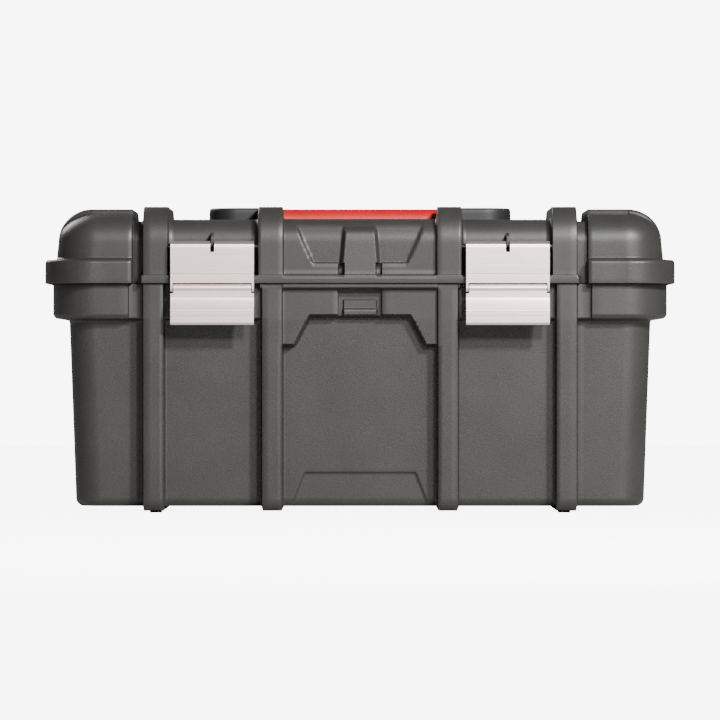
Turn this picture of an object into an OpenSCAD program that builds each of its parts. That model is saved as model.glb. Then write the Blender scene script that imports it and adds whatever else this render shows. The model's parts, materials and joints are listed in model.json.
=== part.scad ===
// Toolbox with a hinged lid, two draw latches, a folding carry handle and a lift-out tray.
// X runs along the length, the front faces -Y, and Z = 0 is the floor under the feet.

/* [Overall size] */
// Length of the lid over its corner skirts
box_l = 565; // [520:1:700]
// Depth of the lid over its corner skirts, front to back
box_d = 300; // [270:1:380]
// Height of the split line between body and lid above the floor
split_z = 205; // [185:1:280]
// Height of the lid from the split line to the top of its ribs
lid_h = 69; // [64:1:90]

/* [Walls and clearances] */
// Thickness of the moulded walls
wall = 3; // [2.4:0.1:4]
// Gap between the lid's lower edge and the body's rim
split_gap = 0.4; // [0.3:0.1:1]
// Radial clearance of a pin that turns in its bore
running_gap = 0.1; // [0.05:0.01:0.1]
// Clearance beside pieces that swing or lift past each other
moving_gap = 0.6; // [0.4:0.1:1.2]

/* [Body] */
// How far the body walls stand in from the lid skirts at the ledge
body_inset = 21.7; // [18:0.1:26]
// How much the body walls lean in between the ledge and the floor
body_draft = 6; // [2:0.5:10]
// Height of the collar round the top of the body
collar_h = 32.7; // [26:0.1:40]
// How far the collar stands in from the lid skirts
collar_inset = 7; // [5:0.5:9]
// Thickness of the body's floor
floor_t = 3.5; // [2.5:0.5:6]
// Radius of the corners in plan
corner_r = 45; // [35:1:55]
// Height of the sealing tongue above the rim
tongue_h = 4.5; // [3:0.5:6]

/* [Ribs] */
// Distance of the outer ribs from the middle
outer_rib_x = 182.8; // [176:0.1:200]
// Distance of the inner ribs from the middle
inner_rib_x = 80; // [74:0.5:84]
// Width of the ribs on the lid
lid_rib_w = 22.8; // [18:0.2:26]
// Width of the ribs on the body
body_rib_w = 18.6; // [14:0.2:24]

/* [Lid] */
// Height of the lid's end caps over their front and rear corner domes
dome_drop = 8; // [4:0.5:12]
// Height of the lid's ribs over the decks between them
deck_drop = 11.5; // [8:0.5:16]
// Height of the corner skirts
skirt_h = 21.8; // [16:0.2:28]
// Height of the strip along the lid's lower edge
strip_h = 8; // [5:0.5:12]

/* [Latches] */
// Distance of the latches from the middle
latch_x = 132; // [128:0.5:136]
// Width of a latch
latch_w = 74.6; // [60:0.2:76]
// Height of a latch from its grip to its top edge
latch_h = 75; // [68:0.5:80]
// Thickness of the latch plate
latch_t = 3.6; // [3:0.1:4.5]
// Diameter of the pin that carries a latch
latch_pin_d = 4; // [3:0.1:4.5]
// Diameter of the pin between plate and lever
knuckle_pin_d = 3; // [2:0.1:3.6]

/* [Hinges] */
// Length of one hinge along the rear edge
hinge_l = 64; // [48:1:72]
// Diameter of the hinge barrels
barrel_d = 12; // [10:0.5:14]
// Diameter of the hinge pins
hinge_pin_d = 5; // [4:0.5:6]

/* [Carry handle] */
// Length of the handle over its arms
handle_l = 272; // [250:1:280]
// Distance from the handle's pivot to the middle of its grip
handle_reach = 72; // [60:1:80]
// Thickness of the handle
handle_t = 26.8; // [22:0.2:30]
// Length of the soft grip
grip_l = 164; // [130:1:180]
// Width of each handle arm
arm_w = 20; // [16:0.5:24]
// Diameter of the handle's pivot pins
handle_pin_d = 8; // [6:0.5:10]

/* [Tray] */
// Depth of the tray's compartments
tray_h = 48; // [36:1:60]
// Thickness of the tray's walls
tray_wall = 2.4; // [1.8:0.1:3]
// Height of the tray's handle above the tray
tray_handle_h = 56; // [44:1:60]
// Length of the tray's handle
tray_handle_l = 150; // [120:1:180]

/* [Hidden] */
$fn = 48;
LEFT = -1;
RIGHT = 1;
EPS = 0.01;

charcoal = [0.33, 0.33, 0.32];
dark = [0.16, 0.16, 0.16];
red = [0.78, 0.16, 0.13];
metal = [0.86, 0.84, 0.83];
steel = [0.6, 0.6, 0.62];

half_l = box_l / 2;
half_d = box_d / 2;

// Body: a drafted tub under a wider collar, with a ledge inside where they meet
foot_z = 1.5;
tub_z = 5.6;
collar_z = split_z - collar_h;
ledge_z = collar_z + wall;
rim_z = split_z - split_gap;
tub_l = half_l - body_inset;
tub_d = half_d - body_inset;
collar_l = half_l - collar_inset;
collar_d = half_d - collar_inset;
collar_bay_d = half_d - 12;
collar_end_x = outer_rib_x + 24.2;
body_rib_d = half_d - 4;
shelf_t = 3;
tongue_t = 2.4;
rib_foot_r = 7;
frame_d = half_d - 9;
frame_z = split_z - 55.4;
arch_z = split_z - 29.1;
arch_low_w = inner_rib_x - 21.5;
arch_top_w = inner_rib_x - 35.2;
lip_d = half_d - 3;
lip_t = 4.3;
lip_l = inner_rib_x + 10;
slot_x = 14.3;
padlock_w = 5;
notch_z = split_z - 28.2;
block_h = 14;
toe_top_z = 35.7;
toe_top_w = 49.6;
toe_low_w = 61;
foot_l = 10.8;
foot_d = 16;

// Lid: decks between ribs, end caps with lower corner domes, and a skirt round each end
cap_l = half_l - 10;
cap_d = half_d - 9;
cap_h = lid_h - 2;
cap_x = outer_rib_x + 20.8;
cap_r = corner_r - 7;
cap_top_r = 32;
dome_l = cap_l - 4;
dome_d = cap_d - 1;
dome_reach = 46;
deck_h = lid_h - deck_drop;
deck_d = half_d - 14;
deck_r = 20;
deck_l = collar_end_x + wall;
lid_rib_d = half_d - 2;
lid_rib_r = 26;
centre_x = inner_rib_x - lid_rib_w / 2;
centre_d = half_d - 9;
centre_r = 28;
boss_low_w = 17.6;
boss_top_w = 14.4;
boss_h = 48.5;
boss_out = 3;
boss_depth = 9;
strip_d = half_d - 1;
strip_l = outer_rib_x + 14.1;
channel_h = skirt_h - 2 * wall;
lid_in_l = dome_l - wall;
lid_in_d = deck_d - wall;
tongue_l = lid_in_l - moving_gap;
tongue_d = lid_in_d - moving_gap;
tongue_r = cap_r - wall - moving_gap;

// Latches: distances outward from the middle of the box, and heights
plate_out = half_d + 5.5;
grip_out = half_d + 10;
plate_in = plate_out - latch_t;
pivot_out = half_d - 6;
latch_top = split_z + 37.9;
pivot_r = 4.5;
pivot_z = latch_top - pivot_r;
knuckle_r = 3.8;
knuckle_out = plate_out - knuckle_r;
knuckle_z = split_z - 4;
latch_bottom = latch_top - latch_h;
ear_w = 2;
lever_knuckle_l = latch_w - 2 * (ear_w + moving_gap);
slot_w = 3.6;
score = 0.9;
fin_t = 2.6;
catch_out = collar_bay_d + 4.3;
catch_z = split_z - 10.5;
catch_h = 4;

// Hinges: the barrels reach as far to the rear as the latch grips reach to the front
barrel_r = barrel_d / 2;
hinge_y = grip_out - barrel_r;
hinge_end_l = hinge_l / 4;

// Handle: folded flat into a pocket in the top of the lid
handle_r = handle_t / 2;
handle_z = split_z + lid_h - 0.4 - handle_r;
grip_r = handle_r - 1.2;
core_r = 8;
arm_x = handle_l / 2 - arm_w / 2;
lug_w = 14;
lug_x = handle_l / 2 - arm_w - moving_gap - lug_w / 2;
handle_pin_l = lug_w + arm_w - 4;
pocket_gap = 7;
pocket_z = handle_z - handle_r - 4;
pocket_l = handle_l / 2 + pocket_gap;
pocket_front = handle_reach + handle_r + pocket_gap / 2;
pocket_rear = handle_r + pocket_gap / 2;

// Tray: hung by its flange on the ledge inside the body
flange_t = 3;
tray_top = ledge_z + split_gap + flange_t;
tray_floor = tray_top - tray_h;
flange_l = tongue_l - tongue_t - moving_gap - 1;
flange_d = tongue_d - tongue_t - moving_gap - 1;
lean = body_draft * (tray_h + moving_gap) / (ledge_z - tub_z);
tray_l = tub_l - wall - lean - 2;
tray_d = tub_d - wall - lean - 2;
tray_r = corner_r - body_inset - wall;
spine_t = 8;
cross_x = tray_handle_l * 0.65;
divider_x = 0.42 * cross_x + 0.58 * tray_l;
divider_t = 2;
pad_w = 6;
pad_t = 3;
below_top = 6;
peg_x = tray_handle_l / 2 - 9;
peg_l = 10;
peg_w = 4;
peg_h = 12;

// A block with round corners in plan, standing on Z = 0
module plan(l, d, r, h) {
    linear_extrude(h) {
        square([2 * l, 2 * (d - r)], center = true);
        square([2 * (l - r), 2 * d], center = true);
        for (x = [-1, 1], y = [-1, 1]) {
            translate([x * (l - r), y * (d - r)])
                circle(r);
        }
    }
}

// A flat-bottomed outline whose two top corners are round
module round_top(half_w, h, r) {
    translate([-half_w, 0])
        square([2 * half_w, h - r]);
    translate([r - half_w, 0])
        square([2 * (half_w - r), h]);
    for (s = [-1, 1]) {
        translate([s * (half_w - r), h - r])
            circle(r);
    }
}

// Carries a YZ outline along X, centred
module along_x(l) {
    rotate([90, 0, 90])
        linear_extrude(l, center = true)
            children();
}

// Carries an XZ outline along Y, centred
module along_y(l) {
    rotate([90, 0, 0])
        linear_extrude(l, center = true)
            children();
}

// A cylinder along X through the point (x, y, z), centred on it
module rod(x, y, z, d, l) {
    translate([x, y, z])
        rotate([0, 90, 0])
            cylinder(d = d, h = l, center = true);
}

// Repeats its children on both sides of the middle plane
module both_sides() {
    for (s = [0, 1]) {
        mirror([s, 0, 0])
            children();
    }
}

// Repeats its children at the front and at the rear
module front_and_rear() {
    for (s = [0, 1]) {
        mirror([0, s, 0])
            children();
    }
}

// ---- Body ----

// The drafted tub, grown inward by inset, from z0 up to z1
module tub(inset, z0, z1) {
    foot_in = body_draft + inset;
    r = corner_r - body_inset - inset / 2;
    edge = 6;
    hull() {
        translate([0, 0, z0])
            plan(tub_l - foot_in - edge, tub_d - foot_in - edge, r - edge, EPS, $fn = 32);
        translate([0, 0, z0 + edge])
            plan(tub_l - foot_in, tub_d - foot_in, r, EPS, $fn = 32);
        translate([0, 0, z1 - EPS])
            plan(tub_l - inset, tub_d - inset, r, EPS, $fn = 32);
    }
}

// Outline of a body rib: front face, round lower corners and underside
module rib_outline(depth, z0, z1, r) {
    foot_d = depth - body_draft;
    polygon([[-foot_d + r, z0], [foot_d - r, z0], [foot_d - r * 0.3, z0 + r * 0.3],
             [foot_d, z0 + r], [depth, z1], [-depth, z1],
             [-foot_d, z0 + r], [-foot_d + r * 0.3, z0 + r * 0.3]]);
}

module body_ribs(grow, z1) {
    both_sides() {
        for (x = [inner_rib_x, outer_rib_x]) {
            translate([x, 0, 0])
                along_x(body_rib_w - 2 * grow)
                    rib_outline(body_rib_d - grow, foot_z + grow, z1, rib_foot_r);
        }
    }
}

// Raised frame between the inner ribs, cut away below to a low arch
module centre_frame() {
    side = inner_rib_x;
    front_and_rear() {
        translate([0, -tub_d + wall, 0])
            rotate([90, 0, 0])
                linear_extrude(frame_d - tub_d + wall)
                    polygon([[-side, rim_z], [-side, frame_z], [-arch_low_w, frame_z],
                             [-arch_top_w, arch_z], [arch_top_w, arch_z],
                             [arch_low_w, frame_z], [side, frame_z], [side, rim_z]]);
    }
}

module collar() {
    translate([0, 0, collar_z])
        difference() {
            plan(collar_l, collar_d, corner_r - collar_inset, rim_z - collar_z);
            front_and_rear() {
                translate([-collar_end_x, -half_d, -EPS])
                    cube([2 * collar_end_x, half_d - collar_bay_d, collar_h + 1]);
            }
        }
}

// Ledges under which the latch hooks catch
module catches() {
    both_sides() {
        translate([latch_x - lever_knuckle_l / 2, -catch_out, catch_z])
            cube([lever_knuckle_l, catch_out - collar_bay_d + 1, catch_h]);
    }
}

// The two end barrels of each hinge and the webs that carry them
module body_hinge() {
    both_sides() {
        for (s = [-1, 1]) {
            x = latch_x + s * (hinge_l - hinge_end_l) / 2;
            rod(x, hinge_y, split_z, barrel_d, hinge_end_l);
            translate([x - hinge_end_l / 2, collar_bay_d - 1, rim_z - 8])
                cube([hinge_end_l, hinge_y - collar_bay_d + 1, 8]);
        }
    }
}

// Feet under the outer ribs
module feet() {
    from_front = 12;
    both_sides() {
        front_and_rear() {
            translate([outer_rib_x - foot_l / 2, -body_rib_d + body_draft + from_front, 0])
                cube([foot_l, foot_d, foot_z + 1]);
        }
    }
}

// Lip under the lid's strip, through which a padlock's shackle drops
module centre_lip() {
    translate([-lip_l, -lip_d, rim_z - lip_t])
        cube([2 * lip_l, lip_d - tub_d, lip_t]);
}

// Notch below the lip that gives the shackle room, with a low block left in it
module padlock_notch() {
    notch_w = slot_x + padlock_w;
    deep = 5;
    shallow = 2;
    translate([-notch_w, -frame_d - 1, notch_z + block_h])
        cube([2 * notch_w, deep + 1, rim_z - lip_t - notch_z - block_h]);
    translate([-notch_w, -frame_d - 1, notch_z])
        cube([2 * notch_w, shallow + 1, block_h + EPS]);
}

// Square holes beside the centre for the two legs of a padlock's shackle
module padlock_slots(z0, h) {
    both_sides() {
        translate([slot_x, -lip_d + 1, z0])
            cube([padlock_w, lip_d - frame_d - 1, h]);
    }
}

module body_shell() {
    color(charcoal)
        difference() {
            union() {
                tub(0, tub_z, collar_z);
                collar();
                body_ribs(0, rim_z);
                centre_lip();
                centre_frame();
                catches();
                body_hinge();
                feet();
                translate([0, 0, rim_z - shelf_t])
                    plan(tongue_l, tongue_d, tongue_r, shelf_t + tongue_h);
            }
            tub(wall, tub_z + floor_t, ledge_z + EPS);
            body_ribs(wall, ledge_z - 2 * wall);
            translate([0, 0, ledge_z])
                plan(collar_l - wall, collar_bay_d - wall, corner_r - collar_inset - wall,
                     rim_z - shelf_t - ledge_z);
            translate([0, 0, rim_z - shelf_t - EPS])
                plan(tongue_l - tongue_t, tongue_d - tongue_t, tongue_r - tongue_t,
                     shelf_t + tongue_h + 1);
            both_sides() {
                rod(latch_x, hinge_y, split_z, hinge_pin_d, hinge_l + 2);
            }
            toe_recess();
            padlock_notch();
            padlock_slots(rim_z - lip_t - 1, lip_t + 2);
        }
}

// Shallow trapezoid pressed into the foot of the front and the rear wall
module toe_recess() {
    depth = 1.6;
    low_z = tub_z - 1;
    wall_d = tub_d - body_draft * (collar_z - toe_top_z) / (collar_z - tub_z);
    front_and_rear() {
        translate([0, -half_d, 0])
            rotate([-90, 0, 0])
                linear_extrude(half_d - wall_d + depth)
                    polygon([[-toe_low_w, -low_z], [-toe_top_w, -toe_top_z],
                             [toe_top_w, -toe_top_z], [toe_low_w, -low_z]]);
    }
}

// ---- Lid ----

// A block with round corners in plan and a round edge, top_r high, round its top
module lid_form(l, d, h, plan_r, top_r) {
    intersection() {
        hull() {
            plan(l, d, plan_r, h - top_r, $fn = 32);
            translate([0, 0, h - EPS])
                cube([2 * (l - plan_r), 2 * (d - plan_r), 2 * EPS], center = true);
            for (x = [-1, 1], y = [-1, 1]) {
                translate([x * (l - plan_r), y * (d - plan_r), h - top_r])
                    scale([1, 1, top_r / plan_r])
                        sphere(plan_r, $fn = 32);
            }
        }
        translate([-2 * l, -2 * d, 0])
            cube([4 * l, 4 * d, 2 * h]);
    }
}

// The raised band round each end and the lower domes at its corners
module end_caps() {
    difference() {
        union() {
            intersection() {
                lid_form(cap_l, cap_d, cap_h, cap_r, cap_top_r);
                cube([2 * half_l, 2 * (half_d - dome_reach), 2 * lid_h], center = true);
            }
            lid_form(dome_l, dome_d, lid_h - dome_drop, cap_r, cap_top_r);
        }
        cube([2 * cap_x, box_d, 3 * lid_h], center = true);
    }
}

module skirts() {
    edge = 3;
    difference() {
        union() {
            plan(half_l, half_d, corner_r, skirt_h - edge);
            plan(half_l - edge, half_d - edge, corner_r - edge, skirt_h);
        }
        cube([2 * (cap_x - 0.6), 2 * half_d + 2, 3 * skirt_h], center = true);
    }
}

module lid_ribs(grow, rib_w, z0) {
    both_sides() {
        for (x = [inner_rib_x, outer_rib_x]) {
            translate([x, 0, z0])
                along_x(rib_w - 2 * grow)
                    round_top(lid_rib_d - grow, lid_h - grow - z0, lid_rib_r - grow);
        }
    }
}

// Front and rear panel between the inner ribs, with a tapered boss over the padlock's place
module centre_panel() {
    along_x(2 * centre_x + 2)
        round_top(centre_d, deck_h + 0.5, centre_r);
    front_and_rear() {
        translate([0, -centre_d - boss_out, 0])
            rotate([-90, 0, 0])
                linear_extrude(boss_out + boss_depth)
                    polygon([[-boss_low_w, 0], [-boss_top_w, -boss_h], [boss_top_w, -boss_h],
                             [boss_low_w, 0]]);
    }
}

// Fins that stand in the slots of the latches' top edges
module latch_fins() {
    reach = pivot_out + pivot_r + 0.3;
    root = 4;
    fin_h = pivot_r + 7.1;
    both_sides() {
        translate([latch_x - fin_t / 2, -reach, pivot_z - split_z - 1])
            cube([fin_t, reach - deck_d + root, fin_h]);
    }
}

module lid_hinge() {
    middle_l = hinge_l - 2 * hinge_end_l - 2 * moving_gap;
    both_sides() {
        rod(latch_x, hinge_y, 0, barrel_d, middle_l);
        translate([latch_x - middle_l / 2, strip_d - 4, 0])
            cube([middle_l, hinge_y - strip_d + 4, barrel_r]);
    }
}

// Room in the lid's rear strip for the body's hinge barrels
module barrel_clearance() {
    both_sides() {
        for (s = [-1, 1]) {
            rod(latch_x + s * (hinge_l - hinge_end_l) / 2, hinge_y, 0,
                barrel_d + 2 * moving_gap, hinge_end_l + 2 * moving_gap);
        }
    }
}

module pocket_block(grow) {
    translate([-pocket_l - grow, -pocket_front - grow, pocket_z - split_z - grow])
        cube([2 * (pocket_l + grow), pocket_front + pocket_rear + 2 * grow, lid_h + grow]);
}

// Posts in the pocket that carry the handle's pins
module handle_lugs() {
    post_r = handle_r - 2;
    both_sides() {
        rod(lug_x, 0, handle_z - split_z, 2 * post_r, lug_w);
        translate([lug_x - lug_w / 2, -post_r, pocket_z - split_z - 1])
            cube([lug_w, 2 * post_r, handle_z - pocket_z + 1]);
    }
}

module lid_outside() {
    end_caps();
    skirts();
    lid_ribs(0, lid_rib_w, 0);
    centre_panel();
    latch_fins();
    lid_hinge();
    along_x(2 * deck_l)
        round_top(deck_d, deck_h, deck_r);
    translate([-strip_l, -strip_d, 0])
        cube([2 * strip_l, 2 * strip_d, strip_h]);
}

// Channel up into each end's lower edge, between the hollow's wall and the skirt
module edge_channel() {
    difference() {
        translate([0, 0, -EPS])
            plan(half_l - wall, half_d - wall, corner_r - wall, channel_h);
        translate([0, 0, -1])
            plan(cap_l - wall, cap_d - wall, cap_r, channel_h + 2);
        cube([2 * (cap_x + wall), box_d, 3 * channel_h], center = true);
    }
}

module lid_hollow() {
    difference() {
        union() {
            translate([0, 0, -EPS])
                lid_form(lid_in_l, lid_in_d, deck_h - wall, cap_r - wall, deck_r - wall);
            lid_ribs(wall, lid_rib_w, strip_h);
        }
        pocket_block(wall);
    }
}

module lid_shell() {
    color(charcoal)
        translate([0, 0, split_z]) {
            difference() {
                lid_outside();
                lid_hollow();
                edge_channel();
                pocket_block(0);
                both_sides() {
                    rod((inner_rib_x + outer_rib_x) / 2, -pivot_out, pivot_z - split_z, latch_pin_d,
                        latch_pin_l() + 2);
                    rod(latch_x, hinge_y, 0, hinge_pin_d + 2 * running_gap, hinge_l);
                }
                barrel_clearance();
                padlock_slots(-1, strip_h + 11);
            }
            difference() {
                handle_lugs();
                both_sides() {
                    rod(lug_x, 0, handle_z - split_z, handle_pin_d, lug_w + 2);
                }
            }
        }
}

// ---- Pins ----

// A latch pin bridges the bay and ends inside the walls of the ribs beside it
function latch_pin_l() = outer_rib_x - inner_rib_x - lid_rib_w + 2 * wall;

module hinge_pin(side) {
    color(steel)
        rod(side * latch_x, hinge_y, split_z, hinge_pin_d, hinge_l);
}

module latch_pivot_pin(side) {
    color(steel)
        rod(side * (inner_rib_x + outer_rib_x) / 2, -pivot_out, pivot_z, latch_pin_d,
            latch_pin_l());
}

module latch_knuckle_pin(side) {
    color(steel)
        rod(side * latch_x, -knuckle_out, knuckle_z, knuckle_pin_d, latch_w - 2);
}

module handle_pin(side) {
    color(steel)
        rod(side * (lug_x + (handle_pin_l - lug_w) / 2 + 1), 0, handle_z, handle_pin_d,
            handle_pin_l);
}

// ---- Latches ----

// Section of the plate: a flat web with a scored line near its foot, and a rolled top edge
module plate_outline() {
    web_z = split_z + 0.3;
    line_z = split_z + 8;
    polygon([[-plate_in, web_z], [-plate_out, web_z], [-plate_out, line_z],
             [-plate_out + score, line_z], [-plate_out + score, line_z + score],
             [-plate_out, line_z + score], [-plate_out, pivot_z - 2],
             [-plate_out + 0.8, pivot_z + 1.6], [-plate_out + 3.4, pivot_z + 3.8],
             [-pivot_out - 3, pivot_z + pivot_r], [-pivot_out, pivot_z + pivot_r],
             [-pivot_out, pivot_z], [-plate_in, pivot_z - 4]]);
    translate([-pivot_out, pivot_z])
        circle(pivot_r);
}

module latch_plate(side) {
    color(metal)
        difference() {
            union() {
                translate([side * latch_x, 0, 0])
                    along_x(latch_w)
                        plate_outline();
                for (s = [-1, 1]) {
                    x = side * latch_x + s * (latch_w - ear_w) / 2;
                    rod(x, -knuckle_out, knuckle_z, 2 * knuckle_r, ear_w);
                    translate([x - ear_w / 2, -plate_out, knuckle_z])
                        cube([ear_w, latch_t, split_z + 1 - knuckle_z]);
                }
            }
            translate([side * latch_x - slot_w / 2, -plate_out - 1, pivot_z - 5.4])
                cube([slot_w, plate_out - pivot_out + pivot_r + 2, latch_h]);
            rod(side * latch_x, -pivot_out, pivot_z, latch_pin_d + 2 * running_gap, latch_w + 2);
            rod(side * latch_x, -knuckle_out, knuckle_z, knuckle_pin_d, latch_w + 2);
        }
}

// Section of the lever: barrel, recessed band, outward slant and scored grip, hook inside
module lever_outline() {
    band_z = knuckle_z - 8.1;
    flat_z = knuckle_z - 11;
    grip_z = flat_z - 8.7;
    upper_z = grip_z - 1;
    lower_z = grip_z - 5.4;
    recess = plate_out - score;
    hook_z = catch_z - 0.7;
    hook_tip = catch_out + moving_gap;
    translate([-knuckle_out, knuckle_z])
        circle(knuckle_r);
    polygon([[-plate_in, knuckle_z], [-recess, knuckle_z], [-recess, band_z + 0.5],
             [-plate_out, band_z], [-plate_out, flat_z], [-grip_out, grip_z],
             [-grip_out, upper_z], [-grip_out + score, upper_z],
             [-grip_out + score, upper_z - score], [-grip_out, upper_z - score],
             [-grip_out, lower_z], [-grip_out + score, lower_z],
             [-grip_out + score, lower_z - score], [-grip_out, lower_z - score],
             [-grip_out, latch_bottom + 2], [-grip_out + 1.4, latch_bottom],
             [-grip_out + 3.2, latch_bottom], [-grip_out + 3.4, grip_z],
             [-plate_in, flat_z], [-plate_in, hook_z - 5], [-hook_tip - 1.5, hook_z - 3.4],
             [-hook_tip, hook_z - 2], [-hook_tip, hook_z], [-plate_in, hook_z]]);
}

module latch_lever(side) {
    web_drop = knuckle_z - knuckle_r - 1.2;
    color(metal)
        difference() {
            union() {
                translate([side * latch_x, 0, 0])
                    along_x(lever_knuckle_l)
                        lever_outline();
                intersection() {
                    translate([side * latch_x, 0, 0])
                        along_x(latch_w)
                            lever_outline();
                    translate([-half_l, -half_d - 20, 0])
                        cube([box_l, box_d, web_drop]);
                    translate([0, -plate_in - 20, 0])
                        cube([box_l, 40, 2 * split_z], center = true);
                }
            }
            rod(side * latch_x, -knuckle_out, knuckle_z, knuckle_pin_d + 2 * running_gap,
                latch_w + 2);
        }
}

// ---- Carry handle ----

module handle_frame() {
    solid_l = (handle_l - grip_l) / 2;
    bore_l = handle_pin_l - lug_w - moving_gap + 2;
    color(dark)
        difference() {
            union() {
                rod(0, -handle_reach, handle_z, 2 * core_r, grip_l + 2);
                both_sides() {
                    rod((handle_l - solid_l) / 2, -handle_reach, handle_z, handle_t, solid_l);
                    rod(arm_x, 0, handle_z, handle_t, arm_w);
                    translate([arm_x - arm_w / 2, -handle_reach, handle_z - handle_r])
                        cube([arm_w, handle_reach, handle_t]);
                }
            }
            both_sides() {
                rod(arm_x - arm_w / 2 + bore_l / 2 - 1, 0, handle_z,
                    handle_pin_d + 2 * running_gap, bore_l + 1);
            }
        }
}

module handle_grip() {
    color(red)
        difference() {
            rod(0, -handle_reach, handle_z, 2 * grip_r, grip_l);
            rod(0, -handle_reach, handle_z, 2 * core_r, grip_l + 2);
        }
}

// ---- Tray ----

// The tray's basin: outside when grow is 0, hollow when it is the wall thickness
module basin(grow, z0, z1) {
    translate([0, 0, z0])
        plan(tray_l - grow, tray_d - grow, tray_r - grow, z1 - z0);
}

// The raised spine down the middle that carries the tray's handle
module spine() {
    translate([-tray_l, -spine_t / 2, tray_floor])
        cube([2 * tray_l, spine_t, tray_h]);
}

module cross_walls() {
    for (x = [-1, 1]) {
        translate([x * cross_x - tray_wall / 2, -tray_d + EPS, tray_floor])
            cube([tray_wall, 2 * tray_d - 2 * EPS, tray_h - below_top]);
    }
}

// Upright grooves for the loose dividers, in pads on the walls
module divider_pads() {
    for (x = [-1, 1], y = [-1, 1], face = [tray_d - tray_wall - 1, spine_t / 2 + 1]) {
        translate([x * divider_x - pad_w / 2, y * face - pad_t / 2, tray_floor + tray_wall])
            cube([pad_w, pad_t, tray_h - tray_wall - below_top]);
    }
}

module divider_grooves() {
    slot_t = divider_t + 0.4;
    for (x = [-1, 1]) {
        translate([x * divider_x - slot_t / 2, -tray_d + tray_wall, tray_floor + tray_wall])
            cube([slot_t, tray_d - tray_wall - spine_t / 2, tray_h]);
    }
}

// The pegs of the tray's handle, which fill square holes in the spine
module handle_pegs(extra) {
    for (s = [-1, 1]) {
        translate([s * peg_x - peg_l / 2, -peg_w / 2, tray_top - peg_h])
            cube([peg_l, peg_w, peg_h + extra]);
    }
}

module tray() {
    color(dark)
        difference() {
            union() {
                difference() {
                    union() {
                        basin(0, tray_floor, tray_top);
                        translate([0, 0, tray_top - flange_t])
                            plan(flange_l, flange_d, tray_r + 10, flange_t);
                    }
                    basin(tray_wall, tray_floor + tray_wall, tray_top + 1);
                }
                intersection() {
                    union() {
                        spine();
                        cross_walls();
                        divider_pads();
                    }
                    basin(EPS, tray_floor, tray_top);
                }
            }
            divider_grooves();
            handle_pegs(1);
        }
}

module tray_divider(side) {
    play = 0.3;
    y0 = -tray_d + tray_wall + play;
    color(red)
        translate([side * divider_x - divider_t / 2, y0, tray_floor + tray_wall + play])
            cube([divider_t, -spine_t / 2 - play - y0, tray_h - tray_wall - below_top - 2]);
}

// Upright loop with two pegs pressed into the tray's spine
module tray_handle() {
    thick = 7;
    hole_w = tray_handle_l - 46;
    hole_h = 28;
    hole_z = 14;
    end_r = 22;
    color(red) {
        translate([0, 0, tray_top])
            difference() {
                along_y(thick)
                    round_top(tray_handle_l / 2, tray_handle_h, end_r);
                translate([-hole_w / 2, -thick, hole_z])
                    cube([hole_w, 2 * thick, hole_h]);
            }
        handle_pegs(1);
    }
}

body_shell();
lid_shell();
hinge_pin(LEFT);  // hinge_pin_left
hinge_pin(RIGHT);  // hinge_pin_right
latch_plate(LEFT);  // latch_plate_left
latch_plate(RIGHT);  // latch_plate_right
latch_lever(LEFT);  // latch_lever_left
latch_lever(RIGHT);  // latch_lever_right
latch_pivot_pin(LEFT);  // latch_pivot_pin_left
latch_pivot_pin(RIGHT);  // latch_pivot_pin_right
latch_knuckle_pin(LEFT);  // latch_knuckle_pin_left
latch_knuckle_pin(RIGHT);  // latch_knuckle_pin_right
handle_frame();
handle_grip();
handle_pin(LEFT);  // handle_pin_left
handle_pin(RIGHT);  // handle_pin_right
tray();
tray_divider(LEFT);  // tray_divider_left
tray_divider(RIGHT);  // tray_divider_right
tray_handle();
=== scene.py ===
"""A long plastic toolbox: ribbed body and lid, metal draw latches, folding handle, lift-out tray."""
import json
import math

import bmesh
import bpy
import numpy as np
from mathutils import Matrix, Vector

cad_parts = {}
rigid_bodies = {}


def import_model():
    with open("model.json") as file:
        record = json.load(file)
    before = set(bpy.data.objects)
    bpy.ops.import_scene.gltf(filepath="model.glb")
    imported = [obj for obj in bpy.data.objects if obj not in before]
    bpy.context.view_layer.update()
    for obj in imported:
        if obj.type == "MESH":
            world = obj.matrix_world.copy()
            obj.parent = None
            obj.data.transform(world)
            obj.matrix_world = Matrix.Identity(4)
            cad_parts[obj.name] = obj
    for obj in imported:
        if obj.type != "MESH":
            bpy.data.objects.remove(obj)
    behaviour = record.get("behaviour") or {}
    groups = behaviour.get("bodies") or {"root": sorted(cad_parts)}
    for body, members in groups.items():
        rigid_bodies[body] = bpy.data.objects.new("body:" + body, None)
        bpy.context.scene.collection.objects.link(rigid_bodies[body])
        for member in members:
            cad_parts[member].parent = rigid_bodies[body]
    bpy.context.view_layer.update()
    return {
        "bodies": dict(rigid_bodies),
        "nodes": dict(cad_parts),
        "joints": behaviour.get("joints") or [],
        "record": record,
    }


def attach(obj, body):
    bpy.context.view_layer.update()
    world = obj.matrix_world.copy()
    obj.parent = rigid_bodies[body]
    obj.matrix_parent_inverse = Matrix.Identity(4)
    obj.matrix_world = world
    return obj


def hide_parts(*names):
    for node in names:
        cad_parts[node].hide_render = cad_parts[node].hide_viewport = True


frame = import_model()
MM = 0.001


# ---- Body ----------------------------------------------------------------------------------
# The tub is one injection moulding in polypropylene: a drafted box with a wider collar, eight
# upright ribs that run on under the floor, and a tongue on its rim that seals inside the lid.
# The tool was spark eroded, so every outer face has the same fine, even grain.

def smooth(v, lo, hi):
    """Zero below lo, one above hi, and the cubic 3t^2 - 2t^3 between them."""
    t = np.clip((v - lo) / (hi - lo), 0, 1)
    return t * t * (3 - 2 * t)


def window(v, lo, hi, soft=1.4):
    """One between lo and hi and zero outside, with edges that take soft millimetres."""
    return smooth(v, lo - soft / 2, lo + soft / 2) * (1 - smooth(v, hi - soft / 2, hi + soft / 2))


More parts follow.
